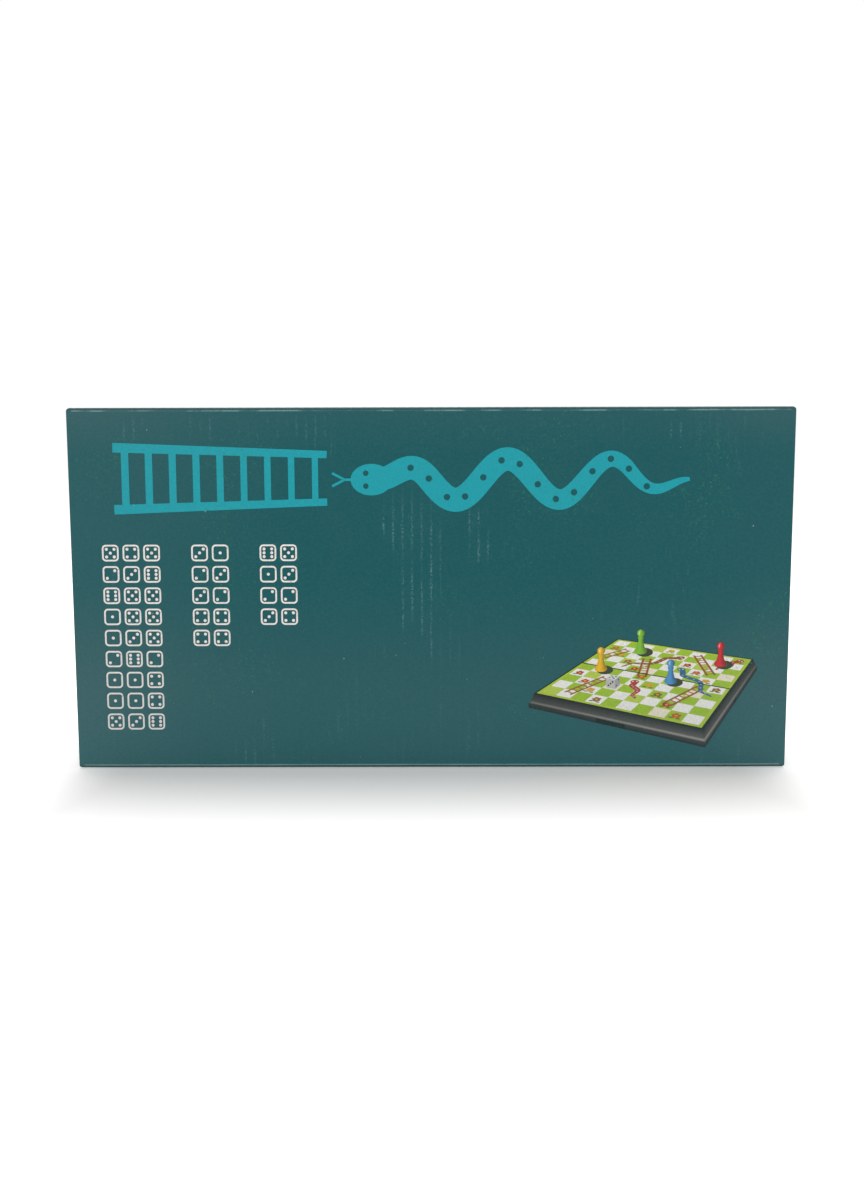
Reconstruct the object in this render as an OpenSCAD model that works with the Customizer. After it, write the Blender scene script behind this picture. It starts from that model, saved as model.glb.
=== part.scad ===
// Boxed snakes and ladders set: a corrugated tuck-end carton that stands on its long edge,
// with a folding magnetic board, four pawns and a die packed inside it.
// The origin is the middle of the carton's underside, +Z is up and the printed front faces -Y.

/* [Folding board] */
// Length of the board along its fold
board_len = 250; // [220:1:320]
// Width of one half, from the fold to the free edge
half_width = 125; // [115:1:160]
// Thickness of one half, from its rim to its playing face
half_depth = 19; // [18:0.5:26]
// Wall thickness of the moulded half shells
shell_wall = 2; // [1.4:0.1:2.6]
// Plastic left under the steel plate of the playing face
face_wall = 2; // [1.4:0.1:2.6]
// Depth of the upright band round the rim
rim_band = 8; // [6.8:0.2:10]
// Step between the rim band and the sloping side
rim_step = 1; // [0.6:0.1:1.6]
// How far the playing face is set in from the rim
face_inset = 7; // [5:0.5:9]
// Plain border between the sloping side and the playing sheet
face_border = 2; // [1:0.25:4]
// Thickness of the steel plate that holds the pawns
plate_t = 0.4; // [0.3:0.05:0.7]
// Thickness of the printed playing sheet
sheet_t = 0.4; // [0.2:0.05:0.7]
// Gap round the plate and the sheet in their recess
sheet_gap = 0.15; // [0.1:0.05:0.4]
// Plastic left beside the sheet at the fold
fold_lip = 0.8; // [0.6:0.1:2]

/* [Board hinge and closing] */
// Distance of each hinge from the middle of the fold
hinge_x = 85; // [50:1:95]
// Length of one hinge knuckle
knuckle_len = 8; // [6:0.5:12]
// Outside radius of a hinge knuckle
knuckle_r = 2.2; // [2:0.1:3]
// Radius of a hinge pin
pin_r = 1; // [0.8:0.05:1.2]
// Radial clearance between a pin and its knuckles
pin_clear = 0.05; // [0.02:0.01:0.1]
// Gap beside and around a knuckle
knuckle_gap = 0.3; // [0.2:0.05:0.5]
// Length of the finger notch in the free edge
notch_len = 46; // [30:1:70]
// Depth of the finger notch in each rim
notch_depth = 3.5; // [2:0.25:5]
// Distance of each closing tongue from the middle of the free edge
tongue_x = 60; // [45:1:95]
// Length of a closing tongue
tongue_len = 12; // [8:0.5:18]
// Thickness of a closing tongue
tongue_t = 1.2; // [0.8:0.1:1.8]
// How far a closing tongue reaches into the other half
tongue_reach = 4; // [2:0.25:6]
// Gap between a closing tongue and the other half
tongue_gap = 0.2; // [0.1:0.05:0.4]

/* [Pawns and die] */
// Height of a pawn
pawn_h = 26; // [22:0.5:28]
// Radius of a pawn's foot
pawn_foot_r = 6.5; // [5.5:0.25:8]
// Radius of a pawn's head
pawn_head_r = 4; // [3:0.25:5]
// Radius of a pawn's neck
pawn_neck_r = 2.2; // [1.6:0.1:2.8]
// Distance between pawns stored in a row
pawn_pitch = 20; // [17:0.5:24]
// Distance of the first stored pawn from the end of the board
pawn_start = 26; // [22:1:34]
// Height of the stored pawns above the free edge
pawn_rise = 40; // [22:1:70]
// Radius of a pawn's magnet
magnet_r = 4; // [3:0.25:4.5]
// Thickness of a pawn's magnet
magnet_t = 2; // [1:0.25:3]
// Clearance round a magnet in its pocket
magnet_gap = 0.05; // [0.02:0.01:0.15]
// Edge length of the die
die_size = 13; // [10:0.5:13]
// Depth of the pips in the die
pip_depth = 0.5; // [0.3:0.05:0.8]
// Radius of the ball that cuts a pip
pip_ball_r = 1.4; // [1:0.1:1.6]
// Distance of the die from the closing tongue beside it
die_gap = 6; // [4:0.5:10]

/* [Carton] */
// Thickness of the corrugated board
flute_t = 1.5; // [1.1:0.1:1.9]
// Free room at each end of the folded board
end_play = 0.75; // [0.4:0.05:2]
// Room for the tuck tongues between the front panel and the folded board
front_play = 4.5; // [4.3:0.1:8]
// Free room behind the folded board
back_play = 0.3; // [0.2:0.05:2]
// Free room above the folded board
head_play = 0.3; // [0.2:0.05:3]
// Gap between an end lid and the dust flaps under it
lid_gap = 0.25; // [0.15:0.05:0.5]
// Gap between a crease's round root and the panel that it bends from
crease_gap = 0.15; // [0.1:0.05:0.3]
// Gap above and below an end lid
lid_edge_gap = 0.4; // [0.2:0.05:1]
// Length of the tuck tongue on an end lid
tuck_len = 12; // [9:0.5:12.5]
// Angle that the tuck tongue leans in from the front panel
tuck_lean = 10.5; // [10.5:0.25:11.5]
// Gap between the front panel and the tuck's crease
tuck_gap = 0.25; // [0.2:0.05:0.4]
// Gap at each end of the tuck tongue
tuck_edge_gap = 1.5; // [1.2:0.1:8]
// Corner radius of the tuck tongue
tuck_corner_r = 7; // [3:0.5:8]
// Length of a dust flap
dust_len = 32; // [20:1:34]
// Sideways taper of a dust flap's rear edge for each unit of its length
dust_taper = 0.56; // [0.55:0.01:0.6]
// Gap between a dust flap's root and the lid's crease
dust_rear_gap = 1.6; // [1.4:0.1:2.5]
// Gap between a dust flap and the tuck tongue
dust_front_gap = 0.5; // [0.3:0.05:1]
// Width of the glued seam tab inside the back panel
tab_w = 15; // [10:0.5:25]
// Thickness of the crushed seam tab
tab_t = 1; // [0.6:0.1:1.1]
// Distance of the seam tab's ends from the ends of the back panel
tab_end_gap = 8; // [4:1:16]

/* [Hidden] */
$fn = 64;
eps = 0.01;

// Colours
print_teal = [0.19, 0.36, 0.38];
shell_black = [0.13, 0.13, 0.13];
sheet_green = [0.55, 0.70, 0.20];
steel_grey = [0.62, 0.63, 0.64];

// Carton sizes that follow from the board inside it
carton_w = board_len + 2 * (end_play + flute_t + lid_gap + flute_t);
carton_d = 2 * half_depth + front_play + back_play + tab_t + 2 * flute_t;
carton_h = half_width + knuckle_r + head_play + 2 * flute_t;
front_inner_y = -carton_d / 2 + flute_t;

// Creases run along the middle of the board's thickness
lid_axis_x = carton_w / 2 - flute_t / 2;
lid_axis_y = carton_d / 2 - flute_t / 2;
tuck_axis_y = front_inner_y + tuck_gap + flute_t / 2;
dust_axis_x = carton_w / 2 - flute_t - lid_gap - flute_t / 2;
crease_set = flute_t / 2 + crease_gap;

// Sizes of the end flaps
lid_len = lid_axis_y - tuck_axis_y - crease_set;
lid_w = carton_h - 2 * lid_edge_gap;
tuck_w = lid_w - 2 * tuck_edge_gap;
dust_rear = lid_axis_y - dust_rear_gap;
dust_front = tuck_axis_y + flute_t / 2 + dust_front_gap
    + (lid_axis_x - dust_axis_x + flute_t) * tan(tuck_lean);

// The folded board stands on the bottom panel with its fold upwards
board_y = front_inner_y + front_play + half_depth;
board_z = flute_t;
recess_t = plate_t + sheet_t;
floor_y = half_depth - recess_t - face_wall;
sheet_x = board_len / 2 - face_inset - face_border;
sheet_low = face_inset + face_border;
sheet_high = half_width - fold_lip;
hinge_len = 3 * knuckle_len + 2 * knuckle_gap;

// Inset of the board's sloping side at a height y above the rim plane
function side_inset(y) = rim_step + (face_inset - rim_step) * (y - rim_band) / (half_depth - rim_band);

// Extrusions of a flat outline along one axis, centred on it
module along_x(length) { rotate([90, 0, 90]) linear_extrude(length, center = true) children(); }
module along_y(length) { rotate([90, 0, 0]) linear_extrude(length, center = true) children(); }

// Section of a main panel whose two outer edges are rounded by the creases
module panel_section(height) {
    translate([0, flute_t]) square([flute_t, height - 2 * flute_t]);
    for (z = [flute_t, height - flute_t])
        intersection() {
            translate([flute_t, z]) circle(r = flute_t);
            translate([0, z == flute_t ? 0 : height - flute_t]) square(flute_t);
        }
}

module front_panel() {
    color(print_teal) along_x(carton_w) translate([-carton_d / 2, 0]) panel_section(carton_h);
}

module back_panel() {
    color(print_teal) mirror([0, 1, 0])
        along_x(2 * (lid_axis_x - crease_set)) translate([-carton_d / 2, 0]) panel_section(carton_h);
}

// Top and bottom panels lie between the front and back panels
module edge_panel(z) {
    length = 2 * (dust_axis_x - crease_set);
    depth = carton_d - 2 * flute_t;
    color(print_teal) translate([-length / 2, -depth / 2, z]) cube([length, depth, flute_t]);
}

// Glued tab that closes the tube, folded up from the bottom panel
module seam_tab() {
    length = 2 * (lid_axis_x - crease_set - tab_end_gap);
    color("tan") translate([-length / 2, carton_d / 2 - flute_t - tab_t, flute_t]) cube([length, tab_t, tab_w]);
}

// A flap has its crease along local Z, its round root on that axis and its sheet along local +X
module flap(root_low, root_high) {
    translate([0, 0, root_low]) cylinder(d = flute_t, h = root_high - root_low);
    along_y(flute_t) children();
}

module right_lid() {
    color(print_teal) translate([lid_axis_x, lid_axis_y, carton_h / 2]) rotate([0, 0, -90])
        flap(-lid_w / 2, lid_w / 2) translate([0, -lid_w / 2]) square([lid_len, lid_w]);
}

// Outline of the tuck tongue, with its two outer corners rounded
module tuck_outline() {
    straight = tuck_len - tuck_corner_r;
    translate([0, -tuck_w / 2]) square([straight, tuck_w]);
    translate([0, -tuck_w / 2 + tuck_corner_r]) square([tuck_len, tuck_w - 2 * tuck_corner_r]);
    for (side = [-1, 1])
        translate([straight, side * (tuck_w / 2 - tuck_corner_r)]) circle(r = tuck_corner_r);
}

module right_tuck() {
    color(print_teal) translate([lid_axis_x, tuck_axis_y, carton_h / 2]) rotate([0, 0, 180 - tuck_lean])
        flap(-tuck_w / 2, tuck_w / 2) intersection() {
            tuck_outline();
            translate([0, -tuck_w / 2]) square([tuck_len, tuck_w]);
        }
}

// Outline of a dust flap, with its rear edge tapered so that the lid can swing past it
module dust_outline() {
    polygon([[0, dust_front], [dust_len, dust_front], [dust_len, dust_rear - dust_taper * dust_len], [0, dust_rear]]);
}

module right_dust_top() {
    color(print_teal) translate([dust_axis_x, 0, carton_h - flute_t / 2]) rotate([-90, 90, 0])
        flap(dust_front, dust_rear) dust_outline();
}

module right_dust_bottom() {
    translate([0, 0, carton_h]) mirror([0, 0, 1]) right_dust_top();
}

// Outline of a half shell across its length, at a given inset from the outer surface
module shell_across(inset, floor) {
    x = board_len / 2 - inset;
    top_x = board_len / 2 - inset - side_inset(floor);
    step_x = x - rim_step;
    polygon([
        [-x, 0], [x, 0], [x, rim_band], [step_x, rim_band],
        [top_x, floor], [-top_x, floor], [-step_x, rim_band], [-x, rim_band]
    ]);
}

// Outline of a half shell across its width: upright at the fold and sloping at the free edge
module shell_along(inset, floor) {
    top_z = inset + side_inset(floor);
    polygon([
        [0, inset], [rim_band, inset], [rim_band, inset + rim_step],
        [floor, top_z], [floor, half_width - inset], [0, half_width - inset]
    ]);
}

module shell_block(inset, floor) {
    intersection() {
        linear_extrude(half_width) shell_across(inset, floor);
        along_x(board_len) shell_along(inset, floor);
    }
}

// Knuckle number 0, 1 or 2 of the hinge at a station along the fold
module knuckle(station, number, r, spare = 0) {
    x = station * hinge_x + (number - 1) * (knuckle_len + knuckle_gap);
    translate([x, 0, half_width]) rotate([0, 90, 0]) cylinder(r = r, h = knuckle_len + 2 * spare, center = true);
}

module hinge_bore(station) {
    translate([station * hinge_x, 0, half_width]) rotate([0, 90, 0])
        cylinder(r = pin_r + pin_clear, h = hinge_len + 2 * knuckle_gap, center = true);
}

// One half of the board with its playing face at +Y and its rim in the plane y = 0
module half_shell(own, other) {
    difference() {
        union() {
            difference() {
                shell_block(0, half_depth);
                translate([0, -eps, 0]) shell_block(shell_wall, floor_y + eps);
                translate([-sheet_x, half_depth - recess_t, sheet_low])
                    cube([2 * sheet_x, recess_t + eps, sheet_high - sheet_low]);
                translate([-notch_len / 2, -eps, -eps])
                    cube([notch_len, notch_depth + eps, shell_wall + 2 * eps]);
                for (station = [-1, 1], number = other)
                    knuckle(station, number, knuckle_r + knuckle_gap, knuckle_gap);
            }
            for (station = [-1, 1], number = own)
                knuckle(station, number, knuckle_r);
        }
        for (station = [-1, 1]) hinge_bore(station);
    }
}

// Tongues that reach past the rim, inside the other half's free edge
module closing_tongues() {
    z = shell_wall + tongue_gap;
    for (side = [-1, 1])
        translate([side * tongue_x - tongue_len / 2, -tongue_reach, z]) {
            cube([tongue_len, tongue_reach + rim_band / 2, tongue_t]);
            translate([0, tongue_reach + tongue_gap, -tongue_gap - eps])
                cube([tongue_len, rim_band / 2 - tongue_gap, tongue_t + tongue_gap]);
        }
}

// Puts the board and what it holds in the carton: the rim plane is local y = 0, the free edge z = 0
module on_board() { translate([0, board_y, board_z]) children(); }

module back_half_shell() {
    color(shell_black) on_board() half_shell([0, 2], [1]);
}

module front_half_shell() {
    color(shell_black) on_board() mirror([0, 1, 0]) {
        half_shell([1], [0, 2]);
        closing_tongues();
    }
}

// A flat layer in the recess of the back half's playing face
module face_layer(bottom, thickness) {
    translate([-sheet_x + sheet_gap, half_depth - recess_t + bottom, sheet_low + sheet_gap])
        cube([2 * (sheet_x - sheet_gap), thickness, sheet_high - sheet_low - 2 * sheet_gap]);
}

module back_steel_plate() { color(steel_grey) on_board() face_layer(0, plate_t); }
module front_steel_plate() { color(steel_grey) on_board() mirror([0, 1, 0]) face_layer(0, plate_t); }
module back_play_sheet() { color(sheet_green) on_board() face_layer(plate_t, sheet_t); }
module front_play_sheet() { color(sheet_green) on_board() mirror([0, 1, 0]) face_layer(plate_t, sheet_t); }

module hinge_pins() {
    color(steel_grey) on_board() for (station = [-1, 1])
        translate([station * hinge_x, 0, half_width]) rotate([0, 90, 0])
            cylinder(r = pin_r, h = hinge_len, center = true);
}

// Half outline of a pawn: a round-edged foot, a waisted body and a ball head
foot_h = pawn_h * 0.16;
head_z = pawn_h - pawn_head_r;
neck_z = head_z - sqrt(pow(pawn_head_r, 2) - pow(pawn_neck_r, 2));
waist_steps = 8;
function waist_r(t) = pawn_neck_r + (pawn_foot_r - foot_h / 2 - pawn_neck_r) * pow(1 - t, 2.2);

module pawn_profile() {
    polygon([
        [0, 0], [pawn_foot_r - foot_h / 2, 0], [pawn_foot_r - foot_h / 2, foot_h],
        for (i = [1 : waist_steps])
            let (t = i / waist_steps) [waist_r(t), foot_h + (neck_z - foot_h) * t],
        [0, neck_z]
    ]);
    translate([pawn_foot_r - foot_h / 2, foot_h / 2]) intersection() {
        circle(d = foot_h);
        translate([0, -foot_h / 2]) square(foot_h);
    }
}

// A stored pawn stands on the inside of the front half, held there by its magnet
module at_pawn(place) {
    on_board() translate([-board_len / 2 + pawn_start + place * pawn_pitch, -floor_y, pawn_rise])
        rotate([-90, 0, 0]) children();
}

module pawn(place) {
    at_pawn(place) difference() {
        union() {
            rotate_extrude() pawn_profile();
            translate([0, 0, head_z]) sphere(r = pawn_head_r);
        }
        translate([0, 0, -eps]) cylinder(r = magnet_r + magnet_gap, h = magnet_t + magnet_gap + eps);
    }
}

module pawn_magnets() {
    color(steel_grey) for (place = [0 : 3]) at_pawn(place) cylinder(r = magnet_r, h = magnet_t);
}

// Places of the pips on each face of the die, in steps from the middle of the face
PIPS = [
    [[0, 0]],
    [[-1, -1], [1, 1]],
    [[-1, -1], [0, 0], [1, 1]],
    [[-1, -1], [-1, 1], [1, -1], [1, 1]],
    [[-1, -1], [-1, 1], [0, 0], [1, -1], [1, 1]],
    [[-1, -1], [-1, 0], [-1, 1], [1, -1], [1, 0], [1, 1]]
];
// Turns that bring each face of the die to the top: opposite faces add up to seven
FACE_TURNS = [[0, 0, 0], [90, 0, 0], [0, 90, 0], [0, -90, 0], [-90, 0, 0], [180, 0, 0]];
die_x = -tongue_x + tongue_len / 2 + die_gap + die_size / 2;
pip_step = die_size * 0.26;
corner_ball_r = die_size * 0.72;

module die() {
    color("white") on_board() translate([die_x, 0, shell_wall + die_size / 2])
        difference() {
            intersection() {
                cube(die_size, center = true);
                sphere(r = corner_ball_r);
            }
            for (face = [0 : 5]) rotate(FACE_TURNS[face]) for (pip = PIPS[face])
                translate([pip_step * pip[0], pip_step * pip[1], die_size / 2 + pip_ball_r - pip_depth])
                    sphere(r = pip_ball_r);
        }
}

front_panel();
edge_panel(carton_h - flute_t);  // top_panel
back_panel();
edge_panel(0);  // bottom_panel
seam_tab();
right_lid();
right_tuck();
right_dust_top();
right_dust_bottom();
mirror([1, 0, 0]) right_lid();  // left_lid
mirror([1, 0, 0]) right_tuck();  // left_tuck
mirror([1, 0, 0]) right_dust_top();  // left_dust_top
mirror([1, 0, 0]) right_dust_bottom();  // left_dust_bottom
front_half_shell();
back_half_shell();
front_steel_plate();
back_steel_plate();
front_play_sheet();
back_play_sheet();
hinge_pins();
color("firebrick") pawn(0);  // red_pawn
color("gold") pawn(1);  // yellow_pawn
color("steelblue") pawn(2);  // blue_pawn
color("yellowgreen") pawn(3);  // green_pawn
pawn_magnets();
die();
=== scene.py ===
import bpy
import numpy as np
from mathutils import Matrix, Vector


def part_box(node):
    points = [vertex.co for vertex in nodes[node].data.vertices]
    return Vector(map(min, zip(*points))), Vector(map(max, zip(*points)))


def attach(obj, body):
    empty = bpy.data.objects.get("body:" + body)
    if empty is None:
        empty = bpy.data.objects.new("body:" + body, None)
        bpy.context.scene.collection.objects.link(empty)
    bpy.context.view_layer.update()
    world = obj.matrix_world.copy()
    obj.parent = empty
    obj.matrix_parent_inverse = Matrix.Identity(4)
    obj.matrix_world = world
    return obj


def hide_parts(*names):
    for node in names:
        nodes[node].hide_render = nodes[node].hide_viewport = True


mm = 0.001
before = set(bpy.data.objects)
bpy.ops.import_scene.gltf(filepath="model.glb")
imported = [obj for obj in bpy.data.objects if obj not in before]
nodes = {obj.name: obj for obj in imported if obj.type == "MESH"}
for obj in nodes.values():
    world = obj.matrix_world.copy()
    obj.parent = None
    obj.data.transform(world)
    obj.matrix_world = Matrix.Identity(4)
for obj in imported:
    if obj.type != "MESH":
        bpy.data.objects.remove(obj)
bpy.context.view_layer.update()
scene = bpy.context.scene
rng = np.random.default_rng(7)


def nodeBox(name):
    # A node's lowest and highest corners, turned from metres to mm
    low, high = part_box(name)
    return np.array(low) / mm, np.array(high) / mm


# Driving sizes in mm, read from the frame
frontLow, frontHigh = nodeBox("front_panel")
halfLength = frontHigh[0]
cartonHeight = frontHigh[2]
boardThick = frontHigh[1] - frontLow[1]
frontFace = frontLow[1]
halfDepth = -frontFace - boardThick

# Board of the carton: flutes, liners and the middle layer, in mm
flute = dict(pitch=3.4, liner=0.25, wave=0.18, ripple=0.012, recess=0.45, inner=0.04)
sharpAngle = np.radians(35)


# Camera: the photograph's eye point, fitted to the corners of the carton's front
view = dict(
    place=(1.34, -434.2, 112.7), pitch=6.66, yaw=-0.15, roll=-0.13,
    focalPixels=1150, frameHeight=1184, sensor=36, nearest=0.01,
)


def addCamera():
    # The lens is the focal length times the sensor over the frame's height; it yaws, pitches, then rolls
    camera = bpy.data.objects.new("photoCamera", bpy.data.cameras.new("photoCamera"))
    scene.collection.objects.link(camera)
    camera.data.sensor_width = view["sensor"]
    camera.data.lens = view["focalPixels"] * view["sensor"] / view["frameHeight"]
    camera.data.clip_start = view["nearest"]
    turn = Matrix()
    for angle, axis in ((-view["yaw"], "Z"), (90 - view["pitch"], "X"), (view["roll"], "Z")):
        turn = turn @ Matrix.Rotation(np.radians(angle), 4, axis)
    camera.matrix_world = Matrix.Translation([v * mm for v in view["place"]]) @ turn
    scene.camera = camera


# Mesh helpers: points in mm and quads go into one mesh, each group with its material
def gridQuads(rows, columns, start=0, flip=False):
    # Each quad joins two neighbours in a row and the two beside them in the next
    index = start + np.arange(rows * columns).reshape(rows, columns)
    quads = np.stack([index[:-1, :-1], index[:-1, 1:], index[1:, 1:], index[1:, :-1]], -1)
    quads = quads.reshape(-1, 4)
    return quads[:, ::-1] if flip else quads


def makePiece(name, groups, materials, colours=None, smooth=True):
    # Groups are (points, quads, material numbers); quads count from their group's first point
    counts = np.cumsum([0] + [len(points) for points, _, _ in groups])
    points = np.concatenate([g[0] for g in groups]) * mm
    quads = np.concatenate([g[1] + c for g, c in zip(groups, counts)])
    slots = np.concatenate([np.full(len(g[1]), g[2]) for g in groups])
    mesh = bpy.data.meshes.new(name)
    mesh.vertices.add(len(points))
    mesh.vertices.foreach_set("co", points.ravel())
    mesh.loops.add(quads.size)
    mesh.loops.foreach_set("vertex_index", quads.ravel().astype(np.int32))
    mesh.polygons.add(len(quads))
    mesh.polygons.foreach_set("loop_start", np.arange(0, quads.size, 4, dtype=np.int32))
    mesh.polygons.foreach_set("material_index", slots.astype(np.int32))
    mesh.polygons.foreach_set("use_smooth", np.full(len(quads), smooth))
    mesh.update(calc_edges=True)
    mesh.validate()
    mesh.set_sharp_from_angle(angle=sharpAngle)
    if colours is not None:
        ink = mesh.attributes.new("ink", "FLOAT_COLOR", "POINT")
        rgba = np.concatenate([colours, np.ones((len(colours), 1))], 1)
        ink.data.foreach_set("color", rgba.ravel().astype(np.float32))
    for material in materials:
        mesh.materials.append(material)
    piece = bpy.data.objects.new(name, mesh)
    scene.collection.objects.link(piece)
    return piece


def ribbon(across, upper, lower, low, high, stations, place, slots):
    # A closed strip: two curves over "across", swept from low to high in "stations" shares of the way.
    # place(across, along, height) gives points; slots are materials of upper, lower, sides and ends.
    low, high = np.broadcast_to(low, across.shape), np.broadcast_to(high, across.shape)
    along = low + (high - low) * stations[:, None]
    wide = np.broadcast_to(across, along.shape)
    top = place(wide, along, np.broadcast_to(upper, along.shape))
    under = place(wide, along, np.broadcast_to(lower, along.shape))
    rows, columns = along.shape
    index = np.arange(rows * columns).reshape(rows, columns)
    below = index + rows * columns
    quads = [gridQuads(rows, columns), gridQuads(rows, columns, rows * columns, flip=True)]
    slotOf = [slots[0], slots[1]]
    for upperEdge, lowerEdge, flip, slot in (
        (index[:, 0], below[:, 0], True, slots[2]),
        (index[:, -1], below[:, -1], False, slots[2]),
        (index[0], below[0], False, slots[3]),
        (index[-1], below[-1], True, slots[3]),
    ):
        edge = np.stack([upperEdge[:-1], lowerEdge[:-1], lowerEdge[1:], upperEdge[1:]], -1)
        quads.append(edge[:, ::-1] if flip else edge)
        slotOf.append(slot)
    points = np.concatenate([top.reshape(-1, 3), under.reshape(-1, 3)])
    return [(points, np.concatenate(quads), np.repeat(slotOf, [len(q) for q in quads]))]


# Materials
def srgb(red, green, blue):
    # Linear light of a screen colour: a straight foot, then the power 2.4
    c = np.array([red, green, blue]) / 255
    return tuple(np.where(c < 0.04045, c / 12.92, ((c + 0.055) / 1.055) ** 2.4)) + (1.0,)


def newMaterial(name):
    # A material, its main shader and each point's place on its piece, in metres
    material = bpy.data.materials.new(name)
    material.use_nodes = True
    tree = material.node_tree
    return material, tree.nodes["Principled BSDF"], tree.nodes.new("ShaderNodeTexCoord").outputs["Object"]


def put(socket, value):
    # A socket takes a link from another socket, or a plain value
    if isinstance(value, bpy.types.NodeSocket):
        socket.id_data.links.new(value, socket)
    elif value is not None:
        socket.default_value = value


def addNode(kind, values, **settings):
    # A new node's outputs; it is made in the tree of the first socket among its input values
    tree = next(v.id_data for v in values.values() if isinstance(v, bpy.types.NodeSocket))
    node = tree.nodes.new("ShaderNode" + kind)
    for name, value in settings.items():
        setattr(node, name, value)
    for name, value in values.items():
        put(node.inputs[name], value)
    return node.outputs


def calc(operation, a, b=None, clamp=False):
    # One step of arithmetic on one or two values
    return addNode("Math", {0: a, 1: b}, operation=operation, use_clamp=clamp)[0]


def ramp(value, low, high, outLow=0.0, outHigh=1.0):
    # A smooth step: outLow up to low, outHigh from high on
    values = dict(enumerate((value, low, high, outLow, outHigh)))
    return addNode("MapRange", values, interpolation_type="SMOOTHSTEP")[0]


def blendColour(share, first, second):
    # The first colour times one less the share, plus the second times the share
    return addNode("Mix", {0: share, 6: first, 7: second}, data_type="RGBA")[2]


def splitPlace(place):
    # The three parts of a place
    return addNode("SeparateXYZ", {0: place})


def noise(place, scale, detail=2.0, stretch=None, shift=(0, 0, 0)):
    # Scale counts features per metre; stretch slows the pattern along an axis
    if stretch or any(shift):
        place = addNode("Mapping", dict(Vector=place, Scale=stretch or (1, 1, 1), Location=shift))[0]
    return addNode("TexNoise", dict(Vector=place, Scale=scale, Detail=detail))["Fac"]


def dress(shader, colour, rough, gloss=0.5, metal=0.0):
    # The shader's main inputs, as links or plain values
    names = ("Base Color", "Roughness", "Specular IOR Level", "Metallic")
    for name, value in zip(names, (colour, rough, gloss, metal)):
        put(shader.inputs[name], value)


def bump(shader, height, strength, distance):
    # Relief: the slope of a height pattern tilts the shader's normal
    slope = addNode("Bump", dict(Height=height, Strength=strength, Distance=distance))
    put(shader.inputs["Normal"], slope[0])


# Print of the carton: inks, wear colours and the colours of painted sheen and shade, then its corners and
# creases in mm
printed = dict(
    teal=(10, 91, 96), topInk=(26, 170, 183), creamInk=(255, 250, 245),
    haze=(108, 127, 129), sheen=(60, 130, 138), scuff=(104, 150, 152), mould=(52, 134, 96),
    speck=(206, 214, 206), crease=(138, 172, 170), shadeAndMottle=(20, 52, 56),
    cornerRound=1.1, creaseIn=1.15, creaseWidth=0.38, creaseCore=0.15, creaseClear=(2.6, 1.2),
    topCrease=(0.12, 0.85), footCrease=(0.8, 1.0), wander=(60, 0.3), fibre=2600, rough=0.40, hazeRough=0.35,
    gloss=0.14,
)

# Wear of the print, with painted light and shade among it (the foot's haze lift and sheen, the bands at the
# creases): the most that each colour covers, and places on the front in mm.
# A rubbed box has its left, right, low, high, how far it fades below that, and its share.
wear = dict(
    clouds=0.03, leftHaze=0.10, leftFrom=-40, rightHaze=0.055, rightFrom=75,
    footHazeAndPaintedLight=0.14, footFull=25, footFrom=75, headHaze=0.06, headFrom=112, cornerHaze=0.085, cornerFrom=0.6,
    paintedFootSheen=0.17, sheenHigh=45, inkHazeAndSheen=0.45, scuff=(0.03, 0.7), crest=0.6, wobble=(900, 0.9),
    rubbedClouds=0.5, boxFade=4, scuffClear=(6, 4),
    rubbed=((-18, 1, 52, 88, 18, 1.0), (16, 18, 80, 92, 6, 2.2), (70, 92, 121, 125, 3, 0.6),
            (-112, -36, 121, 125, 3, 0.5)),
    rub=0.25, mould=0.6, speck=0.5, grain=0.05, mottle=0.11,
    topShade=0.6, footShade=0.25, shadeFrom=1.0, shadeTo=0.45,
)

# Noise patterns: features per metre, detail, stretch, shift, and the two values it fades in between
still = (0, 0, 0)
patterns = dict(
    clouds=(11, 4, None, still, 0.40, 0.74),
    rubbed=(24, 3, None, (3, 1, 2), 0.56, 0.70),
    fades=(150, 3, (1, 1, 0.35), (9, 2, 3), 0.44, 0.68),
    grains=(1900, 3, None, (6, 1, 7), 0.42, 0.62),
    rubLines=(520, 2, (1, 1, 0.12), still, 0.60, 0.74),
    rubClouds=(17, 3, None, (7, 0, 4), 0.50, 0.68),
    dots=(1300, 2, None, (2, 3, 9), 0.58, 0.74),
    dusty=(36, 3, None, (5, 2, 8), 0.46, 0.66),
    specks=(900, 0, None, (1, 5, 2), 0.87, 0.90),
    grain=(1100, 3, None, (4, 4, 1), 0.35, 0.68),
    mottle=(1500, 3, None, (8, 3, 5), 0.36, 0.64),
)


def pattern(place, name, most=1.0):
    # A noise that fades in smoothly between its two values, from nought to "most"
    scale, detail, stretch, shift, low, high = patterns[name]
    return ramp(noise(place, scale, detail, stretch, shift), low, high, 0.0, most)


def sway(place, scale, reach):
    # Noise less its middle value, times its reach
    return product(calc("SUBTRACT", noise(place, scale, 2), 0.5), reach)


def pointInk(shader):
    # The ink colour that each point of the mesh holds
    ink = shader.id_data.nodes.new("ShaderNodeAttribute")
    ink.attribute_name = "ink"
    return ink.outputs["Color"]


def joined(operation, values):
    # The values taken in turn by one operation, as a sum or a product
    result = values[0]
    for value in values[1:]:
        result = calc(operation, result, value)
    return result


def product(*factors):
    # Each factor times the next
    return joined("MULTIPLY", factors)


def between(value, low, high, before, after):
    # One from low to high, falling to nought over "before" below and "after" above
    rising = ramp(value, low - before, low)
    return product(rising, ramp(value, high, high + after, 1.0, 0.0))


def clearOfEnds(x, outer, inner):
    # One, falling to nought between "outer" and "inner" mm from the carton's ends
    return ramp(calc("ABSOLUTE", x), halfLength - outer, halfLength - inner, 1.0, 0.0)


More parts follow.
